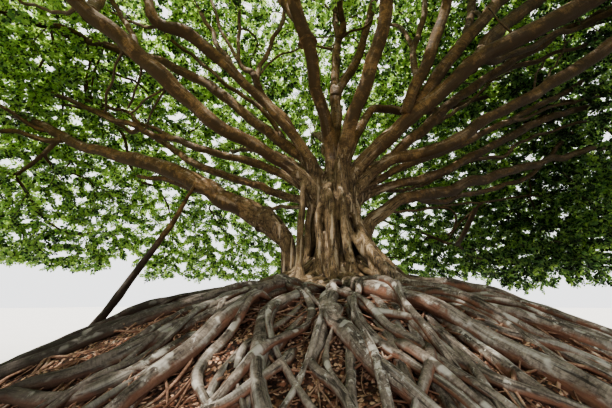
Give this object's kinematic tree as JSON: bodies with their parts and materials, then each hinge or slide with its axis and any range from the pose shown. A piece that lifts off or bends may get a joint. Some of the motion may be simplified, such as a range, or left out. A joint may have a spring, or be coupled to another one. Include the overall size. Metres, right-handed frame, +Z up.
{
  "type": "banyan tree",
  "caption": "Rooted banyan tree: a mound of surface roots, a short fluted trunk, long spreading boughs and an open umbrella-shaped crown of small leaves.",
  "frame": {"origin": "middle of the flat cut at ground level, under the trunk", "axes": "+Z up, +Y away from the viewer in the picture, +X to the viewer's right"},
  "size_m": [19.1379, 20.4159, 11.0222],
  "materials": {
    "trunk_bark": "tan-grey bark in upright flutes, dark grooves and lichen",
    "bough_bark": "smooth warm brown-grey bark with fine cross rings",
    "root_bark": "weathered grey-green bark with pale lichen, red-brown below",
    "leaf": "small smooth leaves, yellow-green where the light comes through"
  },
  "bodies": {
    "root": {"trunk": "trunk_bark", "leaves_rim_1": "leaf", "leaves_rim_2": "leaf", "leaves_rim_3": "leaf", "leaves_rim_4": "leaf", "leaves_rim_5": "leaf", "leaves_rim_6": "leaf", "leaves_rim_7": "leaf", "leaves_rim_8": "leaf", "leaves_rim_9": "leaf", "leaves_shoulder_1": "leaf", "leaves_shoulder_2": "leaf", "leaves_shoulder_3": "leaf", "leaves_shoulder_4": "leaf", "leaves_shoulder_5": "leaf", "leaves_shoulder_6": "leaf", "leaves_top_1": "leaf", "leaves_top_2": "leaf", "leaves_top_3": "leaf", "bough_left_low": "bough_bark", "bough_right_long": "bough_bark", "bough_left_upper": "bough_bark", "bough_near_left": "bough_bark", "bough_near_right": "bough_bark", "bough_left_long": "bough_bark", "bough_left_steep": "bough_bark", "bough_right_low": "bough_bark", "bough_right_near": "bough_bark", "bough_right_middle": "bough_bark", "bough_right_far": "bough_bark", "bough_right_thin": "bough_bark", "bough_left_thin": "bough_bark", "bough_left_far": "bough_bark", "bough_far_arching": "bough_bark", "bough_upright": "bough_bark", "bough_right_steep": "bough_bark", "bough_right_high": "bough_bark", "bough_back_left": "bough_bark", "bough_back": "bough_bark", "bough_back_right": "bough_bark", "aerial_root": "bough_bark", "prop_root": "bough_bark", "root_front_a": "root_bark", "root_front_b": "root_bark", "root_front_c": "root_bark", "root_front_d": "root_bark", "root_front_e": "root_bark", "root_front_f": "root_bark", "root_front_g": "root_bark", "root_left_a": "root_bark", "root_left_b": "root_bark", "root_left_c": "root_bark", "root_back_a": "root_bark", "root_back_b": "root_bark", "root_back_c": "root_bark", "root_back_d": "root_bark", "root_right_a": "root_bark", "root_right_b": "root_bark", "root_right_c": "root_bark"}
  },
  "joints": []
}
